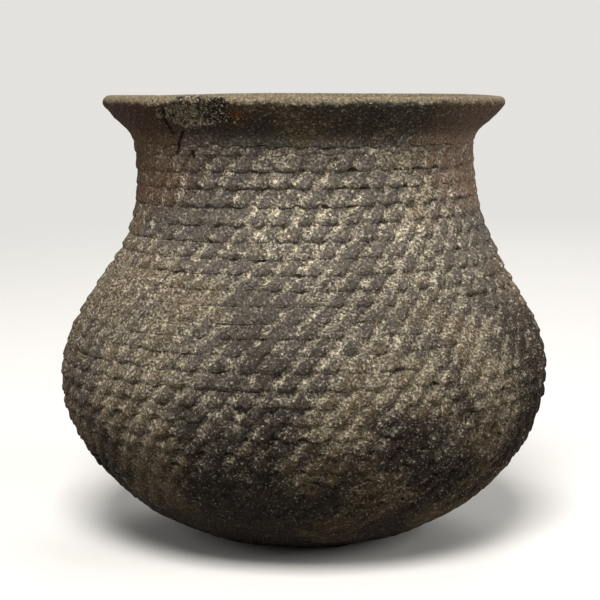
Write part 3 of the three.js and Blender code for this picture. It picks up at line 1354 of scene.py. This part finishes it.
    def lay(
        self,
        tree: bpy.types.NodeTree,
        under: Colour,
        over: Colour,
        driver: bpy.types.NodeSocket,
        edge: Edge,
    ) -> bpy.types.NodeSocket:
        """Lays one colour over another where a driver passes from one value to another.

        Args:
            tree: the material's nodes.
            under: the colour beneath.
            over: the colour laid on.
            driver: what decides where it lies.
            edge: the driver's value where the layer starts, where it is full, and its greatest share.

        Returns:
            The colour socket.
        """
        start, full, most = edge
        share = add_node(
            tree,
            "ShaderNodeMapRange",
            {"interpolation_type": "SMOOTHSTEP"},
            {"Value": driver, "From Min": start, "From Max": full, "To Max": most},
        ).outputs[0]
        return add_node(
            tree, "ShaderNodeMix", {"data_type": "RGBA"}, {MIX_FACTOR: share, MIX_A: under, MIX_B: over}
        ).outputs[MIX_RESULT]

    def coat(
        self,
        tree: bpy.types.NodeTree,
        colour: Colour,
        drivers: Drivers,
        paints: Sequence[Paint],
    ) -> bpy.types.NodeSocket:
        """Lays paints over a colour, one after another.

        Args:
            tree: the material's nodes.
            colour: the colour beneath.
            drivers: sockets by name.
            paints: the layers, from the lowest.

        Returns:
            The colour socket.
        """
        for paint in paints:
            colour = self.lay(tree, colour, linear(paint.colour), drivers[paint.driver], paint.edge)
        return colour

    def salt_and_pepper(
        self,
        tree: bpy.types.NodeTree,
        colour: Colour,
        drivers: Drivers,
        grain: Pair,
    ) -> bpy.types.NodeSocket:
        """Lightens and darkens a colour grain by grain.

        Args:
            tree: the material's nodes.
            colour: the colour.
            drivers: sockets by name.
            grain: how far the darkest and the lightest grains go, as shares of the colour's own value.

        Returns:
            The grained colour socket.
        """
        low, high = self.grain_edge
        dark, light = grain
        value = add_node(
            tree,
            "ShaderNodeMapRange",
            inputs={
                "Value": drivers["grit"],
                "From Min": low,
                "From Max": high,
                "To Min": dark,
                "To Max": light,
            },
        ).outputs[0]
        return add_node(tree, "ShaderNodeHueSaturation", inputs={"Color": colour, "Value": value}).outputs[0]

    def outside(self, tree: bpy.types.NodeTree, drivers: Drivers) -> bpy.types.NodeSocket:
        """Colours the outside: clay, soot and painted shade, rusty flanks, soil in the hollows, and smoke
        and painted shade over all.

        Args:
            tree: the material's nodes.
            drivers: sockets by name.

        Returns:
            The colour socket.
        """
        colour = self.coat(tree, linear(self.clay), drivers, self.layers)
        soil = self.salt_and_pepper(tree, linear(self.soil_colour), drivers, self.soil_grain)
        pale = self.salt_and_pepper(tree, linear(self.soil_pale), drivers, self.soil_grain)
        held = self.gather(tree, drivers["speckle"], drivers, self.soil_weights)
        threaded = self.gather(tree, held, drivers, self.thread_weights)
        for laid, driver, edge in (
            (soil, held, self.film),
            (soil, held, self.crust),
            (pale, threaded, self.threads),
        ):
            start, full, most = edge
            colour = self.lay(tree, colour, laid, driver, (start, full, most * self.soil))
        colour = self.coat(tree, colour, drivers, self.smoke_and_shade)
        return self.salt_and_pepper(tree, colour, drivers, self.bare_grain)

    def inside(self, tree: bpy.types.NodeTree, drivers: Drivers) -> bpy.types.NodeSocket:
        """Colours the inside, scraped level while damp and darkened by what was cooked.

        Args:
            tree: the material's nodes.
            drivers: sockets by name.

        Returns:
            The colour socket.
        """
        drawn_out = add_node(
            tree, "ShaderNodeMapping", inputs={"Vector": drivers["place"], "Scale": self.stroke_scale}
        ).outputs[0]
        stroke = add_node(
            tree,
            "ShaderNodeTexNoise",
            inputs={"Vector": drawn_out, "Scale": 1.0, "Detail": self.stroke_detail},
        ).outputs["Fac"]
        streaked = self.gather(tree, drivers["mottle"], {"stroke": stroke}, self.stroke_weights)
        dark, pale = linear(self.inside_dark), linear(self.inside_pale)
        colour = self.lay(tree, dark, pale, streaked, self.streaks)
        return self.salt_and_pepper(tree, colour, drivers, self.bare_grain)

    def damage(
        self, tree: bpy.types.NodeTree, colour: bpy.types.NodeSocket, drivers: Drivers
    ) -> bpy.types.NodeSocket:
        """Lays the charred core that the flake bares, the rusty stain, and the cracks, drawn dark as painted
        shade, over the colour.

        Args:
            tree: the material's nodes.
            colour: the colour socket.
            drivers: sockets by name.

        Returns:
            The colour socket.
        """
        burnt = self.gather(tree, drivers["speckle"], drivers, self.charred_weights)
        core = self.salt_and_pepper(tree, linear(self.core), drivers, self.core_grain)
        core = self.lay(tree, core, linear(self.charred_and_crack_shade), burnt, self.charring)
        core = self.lay(tree, core, linear(self.temper), drivers["grit"], self.temper_grit)
        flake = self.gather(tree, drivers["flake"], drivers, self.flake_ragged)
        stain = self.gather(tree, drivers["stain"], drivers, self.stain_ragged)
        crack = self.gather(tree, drivers["crack"], drivers, self.crack_ragged)
        colour = self.lay(tree, colour, core, flake, self.flaked)
        colour = self.lay(tree, colour, linear(self.rust), stain, self.stained)
        # Cracks in the charred colour: painted shade along the grooves.
        return self.lay(tree, colour, linear(self.charred_and_crack_shade), crack, self.cracked)


@dataclass
class Studio:
    """A plain pale floor, plain soft light, and the photograph's camera. Distances in metres."""

    floor_radius: float = 3
    floor_sides: int = 128
    floor_fade: Pair = (0.25, 1.3)
    floor_colour: str = "dedbd6"
    floor_bounce: str = "8c8a87"
    backdrop: str = "e4e2de"
    sky_light: float = 0.17
    camera_distance: float = 0.5145
    camera_height: float = 0.1387
    camera_aside: float = -0.0015
    camera_dip: float = math.radians(7.43)
    lens: float = 100.85
    sensor: float = 36
    jar_middle: float = 0.07
    lamps: Sequence[tuple[str, tuple[float, float, float], float, float]] = (
        ("overhead", (-0.1, -0.95, 1.3), 0.6, 34.0),
        ("front_left", (-1.2, -0.6, 0.7), 0.7, 3.5),
        ("front_right", (1.2, -0.6, 0.7), 0.7, 9.0),
        ("behind", (0.3, 1.3, 0.9), 0.9, 12.0),
    )

    def build(self) -> None:
        """Sets up the floor, the sky, the lamps and the camera."""
        self.lay_floor()
        self.light_sky()
        for name, place, size, power in self.lamps:
            self.hang_lamp(name, place, size, power)
        self.place_camera()

    def lay_floor(self) -> None:
        """Lays the floor at the jar's foot, fading into the backdrop far from it."""
        bpy.ops.object.select_all(action="DESELECT")
        bpy.ops.mesh.primitive_circle_add(
            vertices=self.floor_sides, radius=self.floor_radius, fill_type="NGON"
        )
        floor = bpy.context.object
        floor.name = "floor"
        material = bpy.data.materials.new("painted_board")
        material.use_nodes = True
        tree = material.node_tree
        tree.nodes.clear()
        near, far = self.floor_fade
        place = add_node(tree, "ShaderNodeTexCoord").outputs["Object"]
        away = add_node(tree, "ShaderNodeVectorMath", {"operation": "LENGTH"}, {0: place}).outputs["Value"]
        gone = add_node(
            tree,
            "ShaderNodeMapRange",
            {"interpolation_type": "SMOOTHSTEP"},
            {"Value": away, "From Min": near, "From Max": far},
        ).outputs[0]
        pale = add_node(
            tree,
            "ShaderNodeMix",
            {"data_type": "RGBA"},
            {
                MIX_FACTOR: self.seen(tree),
                MIX_A: linear(self.floor_bounce),
                MIX_B: linear(self.floor_colour),
            },
        ).outputs[MIX_RESULT]
        board = add_node(tree, "ShaderNodeBsdfDiffuse", inputs={"Color": pale}).outputs[0]
        clear = add_node(tree, "ShaderNodeBsdfTransparent").outputs[0]
        surface = add_node(tree, "ShaderNodeMixShader", inputs={0: gone, 1: board, 2: clear}).outputs[0]
        add_node(tree, "ShaderNodeOutputMaterial", inputs={"Surface": surface})
        floor.data.materials.append(material)

    def seen(self, tree: bpy.types.NodeTree) -> bpy.types.NodeSocket:
        """Tells the rays that show the surroundings from those that light the jar.

        Args:
            tree: the nodes that the rays are told apart in.

        Returns:
            A socket, 1 for what the camera sees, straight or in gloss and glass, and 0 for light.
        """
        rays = add_node(tree, "ShaderNodeLightPath")
        seen = rays.outputs["Is Camera Ray"]
        for label in ("Is Glossy Ray", "Is Transmission Ray"):
            seen = add_node(
                tree, "ShaderNodeMath", {"operation": "MAXIMUM"}, {0: seen, 1: rays.outputs[label]}
            ).outputs[0]
        return seen

    def light_sky(self) -> None:
        """Makes the sky pale to the camera and a soft even light to the jar."""
        world = bpy.data.worlds.new("studio")
        bpy.context.scene.world = world
        world.use_nodes = True
        tree = world.node_tree
        tree.nodes.clear()
        light = add_node(
            tree, "ShaderNodeBackground", inputs={"Color": (1, 1, 1, 1), "Strength": self.sky_light}
        ).outputs[0]
        backdrop = add_node(tree, "ShaderNodeBackground", inputs={"Color": linear(self.backdrop)}).outputs[0]
        mixed = add_node(
            tree, "ShaderNodeMixShader", inputs={0: self.seen(tree), 1: light, 2: backdrop}
        ).outputs[0]
        add_node(tree, "ShaderNodeOutputWorld", inputs={"Surface": mixed})

    def hang_lamp(self, name: str, place: tuple[float, float, float], size: float, power: float) -> None:
        """Hangs a soft lamp that faces the jar.

        Args:
            name: the lamp's name.
            place: where it hangs.
            size: its width.
            power: its power in watts.
        """
        tilt = math.atan2(math.hypot(place[0], place[1]), place[2] - self.jar_middle)
        heading = math.atan2(place[0], -place[1])
        bpy.ops.object.light_add(type="AREA", location=place, rotation=(tilt, 0, heading))
        lamp = bpy.context.object
        lamp.name = name
        lamp.data.size = size
        lamp.data.energy = power

    def place_camera(self) -> None:
        """Places the camera where the photograph was taken from."""
        place = (self.camera_aside, -self.camera_distance, self.camera_height)
        bpy.ops.object.camera_add(location=place, rotation=(math.pi / 2 - self.camera_dip, 0, 0))
        camera = bpy.context.object
        camera.data.lens = self.lens
        camera.data.sensor_width = self.sensor
        bpy.context.scene.camera = camera
        bpy.context.scene.view_settings.view_transform = "Standard"


def main() -> None:
    """Builds the studio and the jar, base first, and reports each piece."""
    logging.basicConfig(level=logging.INFO, format="%(message)s")
    Studio().build()
    outline = Outline()
    spiral = Spiral(outline)
    wall = Wall(outline, Weathering(outline), spiral.neck_seat + spiral.seat_rise, spiral.lip_seat)
    # Rubbed on the hearth, and darkened as painted shade: dark, even and nearly bare of soil, so the foot
    # reads as one shadowed curve.
    worn = FiredClay("worn_smoked_painted_shade_clay", soil=0.05, grit_bump=0.5).material()
    # Pressed with a fingertip: rough lobes, and soil in the hollows that draws the slanting rows.
    pressed = FiredClay("fingertip_pressed_clay").material()
    # Smoothed by hand: a calm dark band between the rows and the lip.
    smoothed = FiredClay("hand_smoothed_clay", soil=0.5).material()
    # Wiped with a wet finger: a paler gritty edge that catches the light.
    wiped = FiredClay("finger_wiped_lip_clay", soil=0.3).material()
    BasePat("base_disc", "base_clay", worn, spiral, wall).build()
    for number in range(spiral.ropes):
        Rope(f"coil_{number + 1:02d}", "rope_clay", pressed, spiral, wall, number).build()
    NeckBand("neck_band", "neck_clay", smoothed, spiral, wall).build()
    RimLip("rim_lip", "lip_clay", wiped, spiral, wall).build()


if __name__ == "__main__":
    main()
